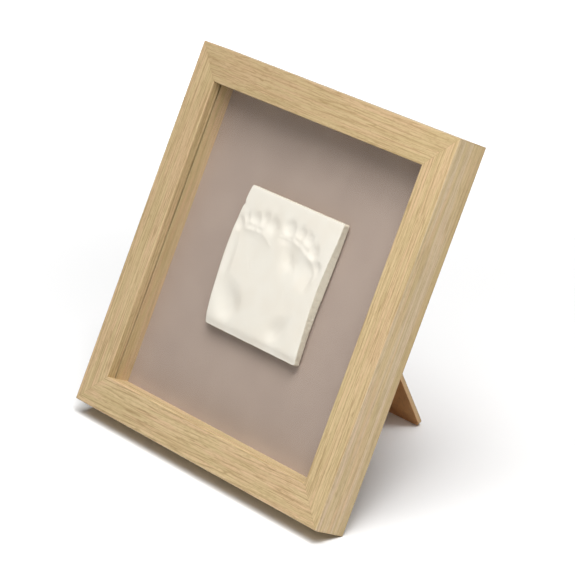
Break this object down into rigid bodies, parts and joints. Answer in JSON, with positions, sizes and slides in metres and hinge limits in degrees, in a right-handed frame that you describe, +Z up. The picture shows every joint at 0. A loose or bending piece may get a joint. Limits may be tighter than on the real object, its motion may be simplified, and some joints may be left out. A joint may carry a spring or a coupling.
{
  "type": "baby footprint frame",
  "caption": "Deep square wooden box frame with a clay tile of baby footprints behind its pane, leaning back on a hinged easel leg.",
  "frame": {"origin": "on the surface that it stands on, at the middle of the part's box", "axes": "+X across the frame to the viewer's right, +Y to the back, +Z up"},
  "size_m": [0.25, 0.1642, 0.2348],
  "materials": {
    "oak_moulding": "light oak finish, satin",
    "oak_spacer": "light oak finish, satin",
    "pane": "clear and polished",
    "card": "taupe, uncoated",
    "clay": "air dried, matte",
    "foam": "white foam, adhesive both sides",
    "panel": "hardboard, smooth side out",
    "leg": "dark hardboard",
    "steel": "zinc plated",
    "nail_steel": "bright"
  },
  "bodies": {
    "frame": {"rail_bottom": "oak_moulding", "rail_top": "oak_moulding", "stile_left": "oak_moulding", "stile_right": "oak_moulding", "corner_nails": "nail_steel", "pane": "pane", "spacer_bottom": "oak_spacer", "spacer_top": "oak_spacer", "spacer_left": "oak_spacer", "spacer_right": "oak_spacer", "backing_card": "card", "clay_tile": "clay", "foam_pads": "foam", "back_panel": "panel", "panel_hinge_leaf": "steel", "panel_leaf_rivets": "steel", "hinge_pin": "steel", "turn_button_screws": "steel", "sawtooth_hanger": "steel", "hanger_nails": "nail_steel"},
    "leg": {"stand_leg": "leg", "leg_hinge_leaf": "steel", "leg_leaf_rivets": "steel"},
    "button_lower_left": {"turn_button_lower_left": "steel"},
    "button_lower_right": {"turn_button_lower_right": "steel"},
    "button_upper_left": {"turn_button_upper_left": "steel"},
    "button_upper_right": {"turn_button_upper_right": "steel"}
  },
  "joints": [
    {"name": "leg_hinge", "type": "hinge", "parent": "frame", "child": "leg", "pos_m": [0, 0.01615, 0.15358], "axis": [-1, 0, 0], "range_deg": [0, 49]},
    {"name": "button_lower_left_turn", "type": "hinge", "parent": "frame", "child": "button_lower_left", "pos_m": [-0.118, -0.03279, 0.05507], "axis": [0, 0.8988, -0.4384], "range_deg": [-90, 90]},
    {"name": "button_lower_right_turn", "type": "hinge", "parent": "frame", "child": "button_lower_right", "pos_m": [0.118, -0.03279, 0.05507], "axis": [0, 0.8988, -0.4384], "range_deg": [-90, 90]},
    {"name": "button_upper_left_turn", "type": "hinge", "parent": "frame", "child": "button_upper_left", "pos_m": [-0.118, 0.02244, 0.16832], "axis": [0, 0.8988, -0.4384], "range_deg": [-90, 90]},
    {"name": "button_upper_right_turn", "type": "hinge", "parent": "frame", "child": "button_upper_right", "pos_m": [0.118, 0.02244, 0.16832], "axis": [0, 0.8988, -0.4384], "range_deg": [-90, 90]}
  ]
}
